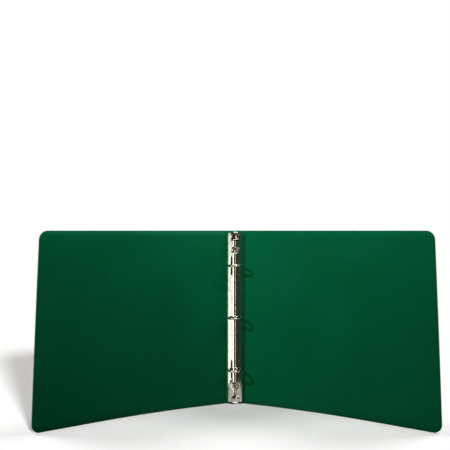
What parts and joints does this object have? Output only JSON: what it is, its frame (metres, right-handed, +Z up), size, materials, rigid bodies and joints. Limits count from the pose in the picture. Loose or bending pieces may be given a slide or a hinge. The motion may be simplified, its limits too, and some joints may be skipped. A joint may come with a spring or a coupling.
{
  "type": "ring binder stamp album",
  "caption": "Ring-binder album standing open: two bowed flexible covers on a narrow spine, with an arched mechanism of round rings that split open when an end trigger is pressed.",
  "frame": {"origin": "centre of the spine's bottom edge, halfway through its sheet", "axes": "+X across the spine towards the right-hand cover, +Y away from the reader, out of the back of the spine, +Z up along the spine"},
  "size_m": [0.4732, 0.1605, 0.234],
  "materials": {
    "sheet": "deep green extruded plastic sheet with a fine satin grain",
    "web": "the same green sheet, pressed thin and shinier along the crease",
    "plated_steel": "bright nickel plating on pressed sheet steel",
    "plated_wire": "bright nickel plating",
    "rail_steel": "plain nickel-plated strip"
  },
  "bodies": {
    "spine": {"spine_panel": "sheet", "left_hinge": "web", "right_hinge": "web", "ring_housing": "plated_steel", "top_eyelet": "plated_wire", "bottom_eyelet": "plated_wire", "top_rivet_cap": "plated_wire", "bottom_rivet_cap": "plated_wire", "top_trigger_pin": "rail_steel", "bottom_trigger_pin": "rail_steel"},
    "left_cover": {"left_cover": "sheet"},
    "right_cover": {"right_cover": "sheet"},
    "left_rings": {"left_rail": "rail_steel", "left_ring_top": "plated_wire", "left_ring_middle": "plated_wire", "left_ring_bottom": "plated_wire"},
    "right_rings": {"right_rail": "rail_steel", "right_ring_top": "plated_wire", "right_ring_middle": "plated_wire", "right_ring_bottom": "plated_wire"},
    "top_trigger": {"top_trigger": "plated_steel"},
    "bottom_trigger": {"bottom_trigger": "plated_steel"}
  },
  "joints": [
    {"name": "left_cover_hinge", "type": "hinge", "parent": "spine", "child": "left_cover", "pos_m": [-0.01325, 0, 0.117], "axis": [0, 0, 1], "range_deg": [-118, 54]},
    {"name": "right_cover_hinge", "type": "hinge", "parent": "spine", "child": "right_cover", "pos_m": [0.01325, 0, 0.117], "axis": [0, 0, -1], "range_deg": [-118, 54]},
    {"name": "left_rail_pivot", "type": "hinge", "parent": "spine", "child": "left_rings", "pos_m": [-0.0086, -0.00305, 0.117], "axis": [0, 0, -1], "range_deg": [0, 16]},
    {"name": "right_rail_pivot", "type": "hinge", "parent": "spine", "child": "right_rings", "pos_m": [0.0086, -0.00305, 0.117], "axis": [0, 0, 1], "range_deg": [0, 16]},
    {"name": "top_trigger_pivot", "type": "hinge", "parent": "spine", "child": "top_trigger", "pos_m": [0, -0.00275, 0.2233], "axis": [-1, 0, 0], "range_deg": [0, 24]},
    {"name": "bottom_trigger_pivot", "type": "hinge", "parent": "spine", "child": "bottom_trigger", "pos_m": [0, -0.00275, 0.0107], "axis": [1, 0, 0], "range_deg": [0, 24]}
  ],
  "couplings": [
    {"joint": "right_rail_pivot", "follows": "left_rail_pivot", "ratio": 1},
    {"joint": "top_trigger_pivot", "follows": "left_rail_pivot", "ratio": 1.5},
    {"joint": "bottom_trigger_pivot", "follows": "left_rail_pivot", "ratio": 1.5}
  ]
}
